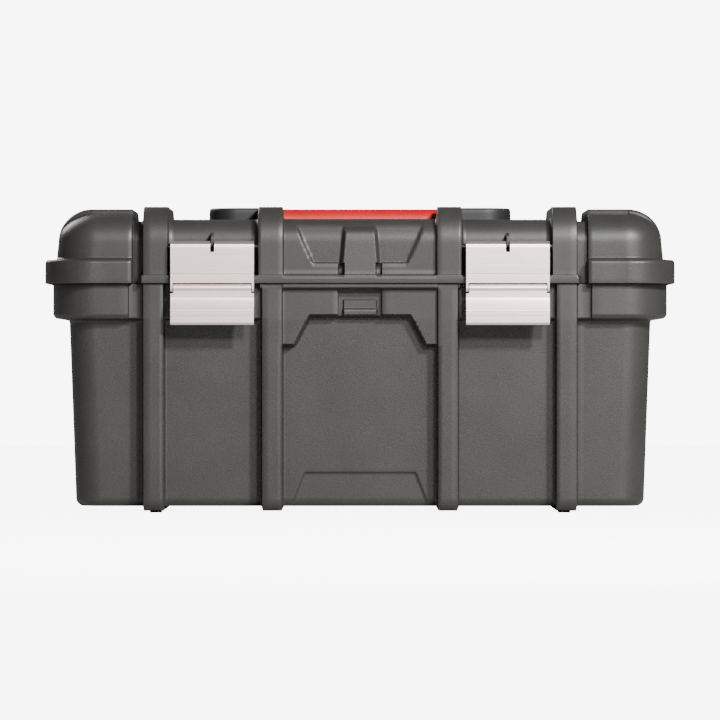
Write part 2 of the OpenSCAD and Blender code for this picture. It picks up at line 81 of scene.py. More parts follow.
def mix(a, b, t):
    """The straight blend from a to b as t goes from 0 to 1."""
    return a + (b - a) * t


def stations(edges, fill, ends, soft=1.4):
    """Sorted places along a line: five across each moulded edge, and even steps of fill between."""
    close = np.array([-0.55, -0.25, 0.0, 0.25, 0.55]) * soft
    spots = [np.linspace(ends[0], ends[1], int((ends[1] - ends[0]) / fill) + 1)]
    spots += [edge + close for edge in edges]
    spots = np.unique(np.round(np.concatenate(spots), 3))
    spots = spots[(spots >= ends[0]) & (spots <= ends[1])]
    keep = np.concatenate([[True], np.diff(spots) > 0.2])
    return spots[keep]


class Outline:
    """Places round the box in plan, counter-clockwise from the middle of the front.

    Each place is a point (u, v) on a core rectangle and an outward normal n. The plan outline
    with half length L, half depth D and corner radius R has there the point
    (stretched u, stretched v) + R n, where stretching moves only what lies past the last feature.
    """

    CORE_U, CORE_V = 229.0, 108.0
    FIXED_U, FIXED_V = 212.0, 100.0

    def __init__(self, x_edges, y_edges, fill=7.0, corner_steps=12):
        xs = np.array(x_edges)
        xs = stations(np.concatenate([-xs[::-1], xs]), fill, (-self.CORE_U, self.CORE_U))
        ys = np.array(y_edges)
        ys = stations(np.concatenate([-ys[::-1], ys]), fill, (-self.CORE_V, self.CORE_V))
        turn = np.linspace(0, np.pi / 2, corner_steps + 1)[1:-1]
        full, flat = np.full_like, np.zeros_like
        parts = [(xs, full(xs, -self.CORE_V), flat(xs), full(xs, -1.0))]
        parts.append(self.corner(1, -1, turn))
        parts.append((full(ys, self.CORE_U), ys, full(ys, 1.0), flat(ys)))
        parts.append(self.corner(1, 1, turn))
        parts.append((xs[::-1], full(xs, self.CORE_V), flat(xs), full(xs, 1.0)))
        parts.append(self.corner(-1, 1, turn))
        parts.append((full(ys, -self.CORE_U), ys[::-1], full(ys, -1.0), flat(ys)))
        parts.append(self.corner(-1, -1, turn))
        self.u, self.v, self.nx, self.ny = (np.concatenate(c)[None, :] for c in zip(*parts))
        self.faces_y = np.abs(self.ny) > 0.999

    def corner(self, sx, sy, turn):
        """The quarter turn at one corner, taken in counter-clockwise order."""
        a = turn if sx * sy > 0 else turn[::-1]
        ones = np.ones_like(a)
        return self.CORE_U * sx * ones, self.CORE_V * sy * ones, np.cos(a) * sx, np.sin(a) * sy

    def rows(self, length, depth, radius, z, grow=0.0, lean=0.0, spine=0.0):
        """Points of the rows z of a shape whose half sizes are length and depth.

        grow moves a point along its normal, which leans up from the level by the angle lean,
        and spine draws it from 0 to 1 towards the line that runs along the middle of the box.
        """
        def row(a):
            return np.asarray(a, float).reshape(-1, 1)
        length, depth, radius, z, lean, spine = map(row, (length, depth, radius, z, lean, spine))
        past_u = np.clip(np.abs(self.u) - self.FIXED_U, 0, None)
        past_v = np.clip(np.abs(self.v) - self.FIXED_V, 0, None)
        room_u = (length - radius - self.FIXED_U) / (self.CORE_U - self.FIXED_U)
        room_v = (depth - radius - self.FIXED_V) / (self.CORE_V - self.FIXED_V)
        u = np.sign(self.u) * (np.minimum(np.abs(self.u), self.FIXED_U) + past_u * room_u)
        v = np.sign(self.v) * (np.minimum(np.abs(self.v), self.FIXED_V) + past_v * room_v)
        out = radius + grow * np.cos(lean)
        x = u + out * self.nx
        y = v + out * self.ny
        hub = np.clip(self.u, -self.FIXED_U, self.FIXED_U)
        x = mix(x, hub, spine)
        y = mix(y, 0.0, spine)
        return np.stack([x, y, z + grow * np.sin(lean) + 0 * x], axis=-1)


def grid_mesh(name, points, closed_u=True, merge=0.02):
    """A mesh over a grid of points in millimetres, rows by columns, closed along each row."""
    rows, cols = points.shape[:2]
    wide = cols if closed_u else cols - 1
    i, j = np.meshgrid(np.arange(rows - 1), np.arange(wide), indexing="ij")
    k = (j + 1) % cols
    faces = np.stack([i * cols + j, i * cols + k, (i + 1) * cols + k, (i + 1) * cols + j], -1)
    return build_mesh(name, points.reshape(-1, 3), faces.reshape(-1, 4), merge)


def build_mesh(name, points, faces, merge=0.02):
    """An object from points in millimetres and four-sided faces, its doubles merged."""
    mesh = bpy.data.meshes.new(name)
    mesh.from_pydata((np.asarray(points) * MM).tolist(), [], np.asarray(faces).tolist())
    obj = bpy.data.objects.new(name, mesh)
    bpy.context.collection.objects.link(obj)
    clean(obj, merge)
    return obj


def clean(obj, merge=0.02):
    """Merges doubles, drops faces with no area and turns all faces outward."""
    work = bmesh.new()
    work.from_mesh(obj.data)
    bmesh.ops.remove_doubles(work, verts=work.verts, dist=merge * MM)
    bmesh.ops.dissolve_degenerate(work, edges=work.edges, dist=merge * MM / 2)
    bmesh.ops.recalc_face_normals(work, faces=work.faces)
    work.to_mesh(obj.data)
    work.free()
    obj.data.shade_smooth()


def crisp(obj, angle=None):
    """Shades by the larger faces, so flats stay flat beside their narrow rounded edges."""
    weighted = obj.modifiers.new("weighted normals", "WEIGHTED_NORMAL")
    weighted.keep_sharp = angle is not None
    weighted.weight = 60
    if angle is not None:
        obj.data.set_sharp_from_angle(angle=math.radians(angle))


def linear(hex_colour):
    """A linear RGBA colour from an sRGB hex value."""
    parts = [int(hex_colour[i:i + 2], 16) / 255 for i in (1, 3, 5)]
    return [c / 12.92 if c <= 0.04045 else ((c + 0.055) / 1.055) ** 2.4 for c in parts] + [1.0]


def add_node(tree, kind, links=(), **settings):
    """Adds a shader node, sets its properties or inputs by name, and links its inputs."""
    node = tree.nodes.new(kind)
    for key, value in settings.items():
        if hasattr(node, key):
            setattr(node, key, value)
        else:
            node.inputs[key.replace("_", " ")].default_value = value
    for source, target in links:
        tree.links.new(source, node.inputs[target])
    return node


def new_material(name):
    """An empty node material, its shader and its Object coordinates."""
    material = bpy.data.materials.new(name)
    material.use_nodes = True
    tree = material.node_tree
    shader = tree.nodes["Principled BSDF"]
    place = tree.nodes.new("ShaderNodeTexCoord").outputs["Object"]
    return material, tree, shader, place


def moulded_plastic(name, colour, shade, roughness, grain_mm, depth_mm, specular=0.5):
    """Injection-moulded plastic: one colour with a faint cloudiness, and a spark-eroded grain."""
    material, tree, shader, place = new_material(name)
    cloud = add_node(tree, "ShaderNodeTexNoise", [(place, "Vector")], Scale=1 / (45 * MM),
                     Detail=3.0, Roughness=0.55)
    speck = add_node(tree, "ShaderNodeTexNoise", [(place, "Vector")], Scale=1 / (grain_mm * MM),
                     Detail=2.0, Roughness=0.5)
    both = add_node(tree, "ShaderNodeMix", [(cloud.outputs["Fac"], "A"), (speck.outputs["Fac"], "B")],
                    Factor=0.5)
    tint = add_node(tree, "ShaderNodeValToRGB", [(both.outputs["Result"], "Fac")])
    tint.color_ramp.elements[0].position = 0.36
    tint.color_ramp.elements[0].color = linear(shade)
    tint.color_ramp.elements[1].position = 0.64
    tint.color_ramp.elements[1].color = linear(colour)
    tree.links.new(tint.outputs["Color"], shader.inputs["Base Color"])
    gloss = add_node(tree, "ShaderNodeMapRange", [(speck.outputs["Fac"], "Value")],
                     To_Min=roughness - 0.07, To_Max=roughness + 0.07)
    tree.links.new(gloss.outputs["Result"], shader.inputs["Roughness"])
    grain = add_node(tree, "ShaderNodeBump", [(speck.outputs["Fac"], "Height")], Strength=0.6,
                     Distance=depth_mm * MM)
    tree.links.new(grain.outputs["Normal"], shader.inputs["Normal"])
    shader.inputs["IOR"].default_value = 1.49
    shader.inputs["Specular IOR Level"].default_value = specular
    return material


# Polypropylene filled with carbon black: a warm charcoal, dull, with a broad soft highlight.
# The real grain is 0.4 mm wide, and it is drawn 1 mm wide so that it shows.
charcoal_polypropylene = moulded_plastic("charcoal polypropylene", "#33322F", "#2A2926",
                                         roughness=0.44, grain_mm=1.0, depth_mm=0.22)

INNER_RIB = (69.5, 87.9)
OUTER_RIB = (175.4, 194.2)
COLLAR_END = 207.0
SPLIT_Z = 205.0
RIM_Z = 204.6
COLLAR_Z = 172.3
LEDGE_Z = 175.3
FLOOR_Z = 9.1
BODY_DRAFT = 6.0
ARCH_LOW_Z, ARCH_LOW_W = 149.6, 58.5
ARCH_H, ARCH_SLANT = 26.3, 13.7
FRAME_OUT = 12.7
TUB_L, TUB_D, TUB_R = 260.8, 128.3, 24.0
TUB_Z = 5.6
# The bottom edge's radius, and how far the ribs stand out from the wall and below the floor
EDGE = 7.0
RIB_OUT, RIB_UNDER = 17.7, 4.1


def body_relief(x, z, lean, on_side):
    """How far the body's outer face stands out from the tub, in layers from the wall outward.

    x and z are a place's distance from the middle and its height, lean turns from 0 on the
    wall to -90 degrees under the floor, and on_side is one round the ends and their corners.
    A rib turns under as a squared ellipse: the fourth powers of cos and sin of the lean, each
    over its own reach from the edge's centre, add up to the reach to the power of minus four.
    """
    under = smooth(-lean, 0.2, math.pi / 2)
    front = 1 - on_side
    arch = ARCH_LOW_W - np.clip(z - ARCH_LOW_Z, 0, ARCH_H) * ARCH_SLANT / ARCH_H
    inside_arch = smooth(arch - x, -1.6, 1.6) * (1 - smooth(z, 174.3, 177.5))
    relief = 0 * z + 0 * x
    frame = window(x, -80, 80) * smooth(z, 148.0, 151.2) * front
    relief = mix(relief, FRAME_OUT, frame * (1 - inside_arch))
    toe_half = 49.6 + (35.7 - z) * 11.4 / 28.7
    toe = smooth(toe_half - x, -1.2, 1.2) * (1 - smooth(z, 34.5, 36.9)) * front
    relief = mix(relief, -1.8, toe * (1 - under))
    collar = smooth(z, 171.4, 174.2)
    rounded = 14.7 - 2.2 * (1 - smooth(z, 173.5, 177.5))
    relief = mix(relief, 9.7, collar * front * (1 - window(x, -80, 80)))
    past_collar = smooth(x, COLLAR_END - 0.7, COLLAR_END + 0.7)
    relief = mix(relief, rounded, collar * np.maximum(on_side, past_collar))
    notch = window(x, -19.3, 19.3, 1.2) * window(z, 176.8, 200.3, 1.2) * front
    relief = mix(relief, 2.4, notch)
    relief = mix(relief, 9.2, window(x, -15.8, 15.8, 2.2) * window(z, 176.0, 191, 1.6) * front)
    relief = mix(relief, 11.2, window(x, -15.8, 15.8, 2.2) * window(z, 176.6, 182.4, 1.4) * front)
    lip = window(x, -90, 90) * smooth(z, 199.8, 200.8) * front
    relief = mix(relief, 18.7, lip)
    ribs = (window(x, *INNER_RIB) + window(x, *OUTER_RIB)) * front
    rib_turn = (np.cos(lean) / (EDGE + RIB_OUT)) ** 4 + (np.sin(lean) / (EDGE + RIB_UNDER)) ** 4
    return mix(relief, rib_turn ** -0.25 - EDGE, ribs)


x_edges = [13.6, 16.8, 19.3, *INNER_RIB, 90, *OUTER_RIB, COLLAR_END]
x_edges += list(np.linspace(44.8, 61.0, 9))
body_plan = Outline(x_edges, [])
wall_z = stations([35.7, 149.6, 173.5, 176.8, 178.2, 183, 191, 200.3], 4.5, (12.6, 204.0), 3.0)
wall_z = np.unique(np.concatenate([wall_z, np.linspace(147, 177.9, 16), np.linspace(8, 36, 12)]))
wall_z = wall_z[wall_z > 12.6]
turn = np.linspace(-np.pi / 2, 0, 9)
under_spine = np.linspace(0.98, 0.0, 9)[:-1]

lean = np.concatenate([np.full(len(under_spine) + 1, -np.pi / 2), turn, 0 * wall_z, [0, 0]])
z = np.concatenate([np.full(len(under_spine) + 1, TUB_Z), TUB_Z + EDGE * (1 + np.sin(turn)),
                    wall_z, [RIM_Z - 0.3, RIM_Z]])
inset = np.concatenate([np.full(len(under_spine) + 1, EDGE), EDGE * (1 - np.cos(turn)),
                        0 * wall_z, [0, 0.4]])
spine = np.concatenate([[1.0], under_spine, 0 * turn, 0 * wall_z, [0, 0]])
draft = BODY_DRAFT * (1 - np.clip((z - TUB_Z) / (COLLAR_Z - TUB_Z), 0, 1))
on_side = np.where(body_plan.faces_y, 0.0, 1.0)
relief = body_relief(np.abs(body_plan.u), z[:, None], lean[:, None], on_side)
outer = body_plan.rows(TUB_L - draft - inset, TUB_D - draft - inset, TUB_R - inset * 0.9, z,
                       relief, lean, spine)

# Inside rows, from the rim to the tongue, down to the tray's ledge and on to the floor
TONGUE_L, TONGUE_D, TONGUE_T = 264.9, 132.4, 2.4
inside = np.array([
    # half length, half depth, corner radius, height, towards the spine
    [TONGUE_L, TONGUE_D, 33.0, RIM_Z, 0], [TONGUE_L, TONGUE_D, 33.0, RIM_Z + 0.3, 0],
    [TONGUE_L, TONGUE_D, 33.0, RIM_Z + 4.0, 0],
    [TONGUE_L - 0.5, TONGUE_D - 0.5, 32.5, RIM_Z + 4.5, 0],
    [TONGUE_L - TONGUE_T + 0.5, TONGUE_D - TONGUE_T + 0.5, 31.0, RIM_Z + 4.5, 0],
    [TONGUE_L - TONGUE_T, TONGUE_D - TONGUE_T, 30.6, RIM_Z + 4.0, 0],
    [TONGUE_L - TONGUE_T, TONGUE_D - TONGUE_T, 30.6, RIM_Z - 2.6, 0],
    [TONGUE_L - TONGUE_T + 0.4, TONGUE_D - TONGUE_T + 0.4, 31.0, RIM_Z - 3.0, 0],
    [272.0, 134.6, 35.4, RIM_Z - 3.0, 0], [272.5, 135.0, 35.0, RIM_Z - 3.6, 0],
    [272.5, 135.0, 35.0, LEDGE_Z + 1.0, 0], [271.5, 134.0, 34.0, LEDGE_Z, 0],
    [258.6, 126.1, 24.2, LEDGE_Z, 0], [257.8, 125.3, 23.6, LEDGE_Z - 0.8, 0],
    [257.0, 124.5, 23.0, 150.0, 0], [255.0, 122.5, 21.0, 95.0, 0],
    [252.6, 120.1, 20.0, 30.0, 0], [251.9, 119.4, 19.0, 15.0, 0],
    [250.0, 117.5, 17.5, 11.0, 0], [246.0, 113.5, 15.0, FLOOR_Z, 0],
    [246.0, 113.5, 15.0, FLOOR_Z, 0.5], [246.0, 113.5, 15.0, FLOOR_Z, 1.0]])
inner = body_plan.rows(inside[:, 0], inside[:, 1], inside[:, 2], inside[:, 3], 0.0, 0.0,
                       inside[:, 4])
body_shell = grid_mesh("body_shell_moulding", np.concatenate([outer, inner]))
crisp(body_shell)
body_shell.data.materials.append(charcoal_polypropylene)
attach(body_shell, "body")
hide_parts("body_shell")


# ---- Lid -----------------------------------------------------------------------------------
# A second moulding in the same charcoal polypropylene. Four ribs run over it from front to
# rear, the ends are raised bands over softer corner domes, and a pocket takes the handle.

LID_L, LID_D, LID_R = 262.0, 136.0, 28.0
DECK_Z, EDGE_R = 262.5, 20.0
LID_INNER_RIB = (68.6, 91.4)
LID_OUTER_RIB = (171.4, 194.2)
CAP_X = 203.6
BAND_Y = 104.0
HINGE_BAY = (98.5, 165.5)
POCKET_X, POCKET_Y = 143.0, (-88.9, 16.9)
POCKET_DEPTH = 19.7


def lid_relief(x, y, z, lean, across):
    """How far the lid's outer face stands out from its decks, in layers from the deck outward.

    x is the distance from the middle, y the depth, z the height, lean the normal's rise, and
    across goes from 0 on the front and rear to 1 on the ends.
    """
    top = smooth(lean, 0.15, math.pi / 2)
    front = across < 0.01
    relief = 0 * z + 0 * x + 0 * y
    panel = window(x, -80, 80) * front
    relief = mix(relief, mix(5.0, 0.5, top), panel)
    field_half = 42 + np.clip(z - 223.3, 0, None) * 15 / 32.2
    field = smooth(field_half - x, -1.4, 1.4) * smooth(z, 222.4, 224.4) * (1 - smooth(z, 252, 257))
    relief = mix(relief, 2.4, field * panel)
    boss_half = 17.6 - np.clip(z - 213, 0, 40.5) * 3.6 / 40.5
    boss = smooth(boss_half - x, -2.0, 2.0) * (1 - smooth(z, 249.5, 254.5)) * front
    relief = mix(relief, 9.8 - np.clip(z - 213, 0, 38) * 0.05, boss)
    notch = window(x, 14.3, 19.3, 0.9) * (1 - smooth(z, 222.4, 223.6)) * front
    relief = mix(relief, 1.0, notch)
    gully = window(x, LID_OUTER_RIB[1], CAP_X, 1.6) * front
    relief = mix(relief, mix(-5.5, -1.6, top), gully)
    beyond = np.maximum(smooth(x, CAP_X - 0.9, CAP_X + 0.9), across > 0.01)
    draft = 0.1 * np.clip(z - 227, 0, 16) * across * np.cos(lean)
    dome = mix(mix(5.0, 9.6, across), 4.0, smooth(lean, 0.0, 1.25))
    relief = mix(relief, dome - draft, beyond)
    band = window(y, -BAND_Y, BAND_Y, 4.0) * beyond
    relief = mix(relief, mix(10.4, 9.5, top) - draft, band)
    ribs = (window(x, *LID_INNER_RIB) + window(x, *LID_OUTER_RIB)) * front
    relief = mix(relief, mix(12.0, 11.5, top), ribs)
    skirt_drop = np.clip(z - 223.0, 0, 3.8)
    skirt = mix(14.0, 20.5, across) - 3.8 + np.sqrt(np.clip(3.8 ** 2 - skirt_drop ** 2, 0, None))
    relief = mix(relief, np.maximum(relief, skirt), beyond * (1 - smooth(z, 226.4, 226.9)))
    strip = window(x, -196.9, 196.9, 2.0) * (1 - smooth(z, 212.2, 213.3)) * front
    at_hinge = window(x, *HINGE_BAY) * (y > 0)
    relief = mix(relief, 13.0 - 2.0 * at_hinge, strip)
    edge_in = 0.6 * (1 - smooth(z, 205.0, 205.7))
    pocket = window(x, -POCKET_X, POCKET_X) * window(y, *POCKET_Y) * (lean > 1.5) * front
    return mix(relief - edge_in, -POCKET_DEPTH, pocket)


def middle_rows(edges, reach, fill):
    """The share of the way from the deck's edge to the middle of the box, row by row."""
    far = stations(np.array(edges), fill, (0.0, reach), 1.8)
    return (1 - far / reach)[::-1][1:]


lid_x = [12.4, 13.6, 15.4, 17.6, 19.3, 68.6, 91.4, *HINGE_BAY, POCKET_X, 171.4, 194.2, 196.9, 203.6]
lid_x += list(np.linspace(42, 57, 6))
lid_plan = Outline(lid_x, [BAND_Y], corner_steps=16)
across = np.where(lid_plan.faces_y, 0.0, np.clip(np.abs(lid_plan.nx), 0.02, 1.0))
reach = LID_D - EDGE_R
side_z = np.unique(np.concatenate([[205.0, 205.3, 205.7, 209], np.linspace(212.2, 213.3, 4),
                                   np.linspace(218, 223, 3), np.linspace(223.4, 226.9, 8),
                                   np.linspace(229, DECK_Z - EDGE_R, 6)]))
arc = np.linspace(0, np.pi / 2, 15)[1:]
deck = middle_rows([*np.linspace(BAND_Y - 4, reach, 9), -POCKET_Y[0], POCKET_Y[1]], reach, 9.0)
lean = np.concatenate([0 * side_z, arc, np.full(len(deck), np.pi / 2)])
z = np.concatenate([side_z, DECK_Z - EDGE_R * (1 - np.sin(arc)), np.full(len(deck), DECK_Z)])
inset = np.concatenate([0 * side_z, EDGE_R * (1 - np.cos(arc)), np.full(len(deck), EDGE_R)])
spine = np.concatenate([0 * side_z, 0 * arc, deck])
shape = (LID_L - inset, LID_D - inset, LID_R - inset, z)
flat = lid_plan.rows(*shape, 0.0, lean, spine)
relief = lid_relief(np.abs(flat[..., 0]), flat[..., 1], flat[..., 2], lean[:, None], across)
outer = lid_plan.rows(*shape, relief, lean, spine)

# The hollow inside: ribs and bands are hollow too, and the pocket hangs down into it
IN_L, IN_D, IN_R, CEILING_Z, IN_EDGE_R = 265.5, 133.0, 35.0, 259.5, 17.0
in_side = np.array([205.0, 213.0, 222.0, CEILING_Z - IN_EDGE_R])
arc = np.linspace(0, np.pi / 2, 7)[1:]
deck = middle_rows([-POCKET_Y[0] + 3, POCKET_Y[1] + 3], IN_D - IN_EDGE_R, 24.0)
in_lean = np.concatenate([0 * in_side, arc, np.full(len(deck), np.pi / 2)])
in_z = np.concatenate([in_side, CEILING_Z - IN_EDGE_R * (1 - np.sin(arc)),
                       np.full(len(deck), CEILING_Z)])
in_inset = np.concatenate([0 * in_side, IN_EDGE_R * (1 - np.cos(arc)),
                           np.full(len(deck), IN_EDGE_R)])
in_spine = np.concatenate([0 * in_side, 0 * arc, deck])
in_shape = (IN_L - in_inset, IN_D - in_inset, IN_R - in_inset, in_z)
flat = lid_plan.rows(*in_shape, 0.0, in_lean, in_spine)
x, y = np.abs(flat[..., 0]), flat[..., 1]
facing = (across < 0.01) * (in_z[:, None] > 214)
hollow = window(x, LID_INNER_RIB[0] + 3, LID_INNER_RIB[1] - 3)
hollow = hollow + window(x, LID_OUTER_RIB[0] + 3, LID_OUTER_RIB[1] - 3)
in_relief = mix(0.0, 11.5, hollow * facing)
sunk = window(x, -POCKET_X - 3, POCKET_X + 3) * window(y, POCKET_Y[0] - 3, POCKET_Y[1] + 3)
in_relief = mix(in_relief, -POCKET_DEPTH, sunk * (in_lean[:, None] > 1.5) * (across < 0.01))
inner = lid_plan.rows(*in_shape, in_relief, in_lean, in_spine)

# A channel up into the lower edge leaves two thin lips, as on any moulding of even thickness
rim_out, rim_in = outer[0], inner[0]
width = np.linalg.norm(rim_out - rim_in, axis=-1, keepdims=True)
lip = np.minimum(3.0 / width, 0.34)
channel = np.clip((width - 8) / 4, 0, 1) * np.array([0, 0, 5.5])
edge_rows = np.stack([mix(rim_in, rim_out, lip), mix(rim_in, rim_out, lip * 1.08) + channel,
                      mix(rim_out, rim_in, lip * 1.08) + channel, mix(rim_out, rim_in, lip)])
lid_shell = grid_mesh("lid_shell_moulding", np.concatenate([inner[::-1], edge_rows, outer]))
crisp(lid_shell)
lid_shell.data.materials.append(charcoal_polypropylene)
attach(lid_shell, "lid")
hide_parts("lid_shell")


# ---- Rims, barrels, catches and posts --------------------------------------------------------
# These stand on the two mouldings and are moulded with them: hinge barrels and their webs,
# the ledges that the latches catch under, the fins between the latches' ears, and the two
# posts in the pocket that carry the handle.

LATCH_X = 132.0
HINGE_Y, BARREL_R, HINGE_L, HINGE_END_L = 154.0, 6.0, 64.0, 16.0
MOVING_GAP = 0.6


def arc_points(y, z, radius, start, end, count):
    """Points (y, z) on an arc about (y, z), from the angle start to end in degrees."""
    a = np.radians(np.linspace(start, end, count))
    return np.stack([y + radius * np.cos(a), z + radius * np.sin(a)], axis=-1)


def prisms(name, outline, spans, width=0.6, segments=2):
    """An outline of (y, z) points carried along X over each span, with its edges rounded."""
    outline = np.asarray(outline, float)
    count = len(outline)
    points, faces = [], []
    for x0, x1 in spans:
        base = len(points) * count
        for x in (x0, x1):
            points.append(np.column_stack([np.full(count, x), outline]))
        ring = np.arange(count)
        after = (ring + 1) % count
        faces += np.stack([ring, after, after + count, ring + count], -1).__add__(base).tolist()
        faces += [(base + ring[::-1]).tolist(), (base + count + ring).tolist()]
    mesh = bpy.data.meshes.new(name)
    mesh.from_pydata((np.concatenate(points) * MM).tolist(), [], faces)
    obj = bpy.data.objects.new(name, mesh)
    bpy.context.collection.objects.link(obj)
    clean(obj)
    soften(obj, width, segments)
    return obj


def soften(obj, width, segments=2, angle=32):
    """Rounds every edge sharper than angle by width millimetres."""
    bevel = obj.modifiers.new("moulded edges", "BEVEL")
    bevel.width = width * MM
    bevel.segments = segments
    bevel.limit_method = "ANGLE"
    bevel.angle_limit = math.radians(angle)
    bevel.use_clamp_overlap = True
    crisp(obj)


def fit_on(obj, body, slot, material, *replaced):
    """Gives a piece its material and the body it rides on, and hides the nodes it stands for; slot is
    not used.
    """
    obj.data.materials.clear()
    obj.data.materials.append(material)
    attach(obj, body)
    if replaced:
        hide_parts(*replaced)
    return obj


def on_both_sides(x0, x1):
    """The span from x0 to x1 on the right, and its mirror on the left."""
    return [(-x1, -x0), (x0, x1)]


first = LATCH_X - HINGE_L / 2
last = LATCH_X + HINGE_L / 2
body_barrel = np.concatenate([arc_points(HINGE_Y, SPLIT_Z, BARREL_R, 176, -66, 28),
                              [(HINGE_Y + 1.0, RIM_Z - 8), (137.0, RIM_Z - 8), (137.0, RIM_Z)]])
ends = [(first, first + HINGE_END_L), (last - HINGE_END_L, last)]
spans = [span for pair in ends for span in on_both_sides(*pair)]
fit_on(prisms("body_hinge_barrels", body_barrel, spans, 0.5), "body", "charcoal_plastic",
       charcoal_polypropylene)
lid_barrel = np.concatenate([arc_points(HINGE_Y, SPLIT_Z, BARREL_R, -176, 90, 30),
                             [(146.0, SPLIT_Z + BARREL_R), (146.0, SPLIT_Z + 0.5)]])
middle = (first + HINGE_END_L + MOVING_GAP, last - HINGE_END_L - MOVING_GAP)
fit_on(prisms("lid_hinge_barrels", lid_barrel, on_both_sides(*middle), 0.5), "lid",
       "charcoal_plastic", charcoal_polypropylene)

catch = [(-136.0, 198.5), (-136.0, 192.5), (-138.2, 192.5), (-142.3, 194.5), (-142.3, 197.6),
         (-141.4, 198.5)]
fit_on(prisms("latch_catches", catch, on_both_sides(LATCH_X - 34.7, LATCH_X + 34.7), 0.4), "body",
       "charcoal_plastic", charcoal_polypropylene)

# Small flat feet under the outer ribs, moulded with the tub: 10.8 mm wide and 16 mm deep
FOOT_X = (177.4, 188.2)
foot = [(-127.6, 3.0), (-128.0, 0.5), (-127.5, 0.0), (-112.5, 0.0), (-112.0, 0.5), (-112.4, 3.0)]
for kind, mirror in (("front", 1), ("rear", -1)):
    outline = np.array(foot)[::mirror] * (mirror, 1)
    fit_on(prisms(f"feet_{kind}", outline, on_both_sides(*FOOT_X), 0.5), "body",
           "charcoal_plastic", charcoal_polypropylene)

FIN_T = 2.6
fin = np.concatenate([[(-134.0, 250.5), (-134.0, 237.4)], [(-147.6, 237.4), (-148.7, 238.6)],
                      arc_points(-144.7, 245.0, 4.0, 180, 105, 7)])
fit_on(prisms("latch_fins", fin, on_both_sides(LATCH_X - FIN_T / 2, LATCH_X + FIN_T / 2), 0.35),
       "lid", "charcoal_plastic", charcoal_polypropylene)

PIVOT_Z, HANDLE_R, ARM_W, HANDLE_HALF = 260.2, 13.4, 20.0, 136.0
post_r = HANDLE_R - 2
post = np.concatenate([arc_points(0, PIVOT_Z, post_r, 0, 180, 25),
                       [(-post_r - 0.6, 247.0), (-post_r - 3.0, 242.4), (post_r + 3.0, 242.4),
                        (post_r + 0.6, 247.0)]])
post_out = HANDLE_HALF - ARM_W - MOVING_GAP
fit_on(prisms("handle_posts", post, on_both_sides(post_out - 14, post_out), 0.9, 3), "lid",
       "charcoal_plastic", charcoal_polypropylene)


# ---- Pins ------------------------------------------------------------------------------------
# Every pivot turns on a length of drawn steel wire with a black oxide finish. Its ends are
# chamfered for pressing in, and drawing leaves fine scratches along it.

def blackened_steel():
    """Black oxide on steel: a dark metal whose drawn scratches run along X, 0.25 mm apart."""
    material, tree, shader, place = new_material("black oxide steel")
    stretch = add_node(tree, "ShaderNodeMapping", [(place, "Vector")])
    stretch.inputs["Scale"].default_value = (1 / (12 * MM), 1 / (0.25 * MM), 1 / (0.25 * MM))
    scratch = add_node(tree, "ShaderNodeTexNoise", [(stretch.outputs[0], "Vector")], Scale=1.0,
                       Detail=3.0)
    tint = add_node(tree, "ShaderNodeValToRGB", [(scratch.outputs["Fac"], "Fac")])
    tint.color_ramp.elements[0].color = linear("#3A3A3C")
    tint.color_ramp.elements[1].color = linear("#55565A")
    tree.links.new(tint.outputs["Color"], shader.inputs["Base Color"])
    ridge = add_node(tree, "ShaderNodeBump", [(scratch.outputs["Fac"], "Height")], Strength=0.3,
                     Distance=0.05 * MM)
    tree.links.new(ridge.outputs["Normal"], shader.inputs["Normal"])
    shader.inputs["Metallic"].default_value = 1.0
    shader.inputs["Roughness"].default_value = 0.28
    return material


def turned(name, x0, x1, y, z, radius, chamfer=0.4, around=40):
    """A pin along X: its radius at each place x is given by a profile, turned about the axis."""
    profile = np.array([(x0, 0), (x0, radius - chamfer), (x0 + chamfer, radius),
                        (x1 - chamfer, radius), (x1, radius - chamfer), (x1, 0)])
    a = np.linspace(0, 2 * np.pi, around, endpoint=False)
    r = profile[:, 1:2]
    x = np.repeat(profile[:, :1], around, axis=1)
    points = np.stack([x, y + r * np.cos(a), z + r * np.sin(a)], axis=-1)
    obj = grid_mesh(name, points, merge=0.01)
    crisp(obj, angle=30)
    return obj


oxide_steel = blackened_steel()
PINS = {
    # node: (body, nearer end, farther end, y, z, radius), on the right-hand side
    "hinge_pin": ("body", first - 0.8, last + 0.8, HINGE_Y, SPLIT_Z, 2.5),
    "latch_pivot_pin": ("lid", 88.5, 174.3, -144.0, 238.4, 2.0),
    "latch_knuckle_pin": ("latch", 95.7, 168.3, -151.7, 201.0, 1.5),
    "handle_pin": ("lid", post_out - 15, post_out + ARM_W - 5, 0.0, PIVOT_Z, 4.0),
}
for kind, (body, near, far, y, z, radius) in PINS.items():
    for side, sign in (("left", -1), ("right", 1)):
        x0, x1 = sorted((sign * near, sign * far))
        node = f"{kind}_{side}"
        rides = f"latch_{side}" if body == "latch" else body
        fit_on(turned(node + "_wire", x0, x1, y, z, radius), rides, "pin_steel", oxide_steel, node)


# ---- Latches ---------------------------------------------------------------------------------
# Each latch is two lengths cut from aluminium extrusions, a plate and a lever, joined by a pin.
# The metal is blasted and clear anodised: pale, even, faintly warm, with fine lines along it
# from the die.

def cad_copy(node, width, segments=2, angle=30):
    """A copy of a CAD node, merged and with its flat facets joined, so that its edges round."""
    mesh = frame["nodes"][node].data.copy()
    obj = bpy.data.objects.new(node + "_finish", mesh)
    bpy.context.collection.objects.link(obj)
    work = bmesh.new()
    work.from_mesh(mesh)
    bmesh.ops.remove_doubles(work, verts=work.verts, dist=0.004 * MM)
    bmesh.ops.dissolve_limit(work, angle_limit=math.radians(0.6), verts=work.verts,
                             edges=work.edges)
    work.to_mesh(mesh)
    work.free()
    mesh.shade_smooth()
    soften(obj, width, segments, angle)
    return obj


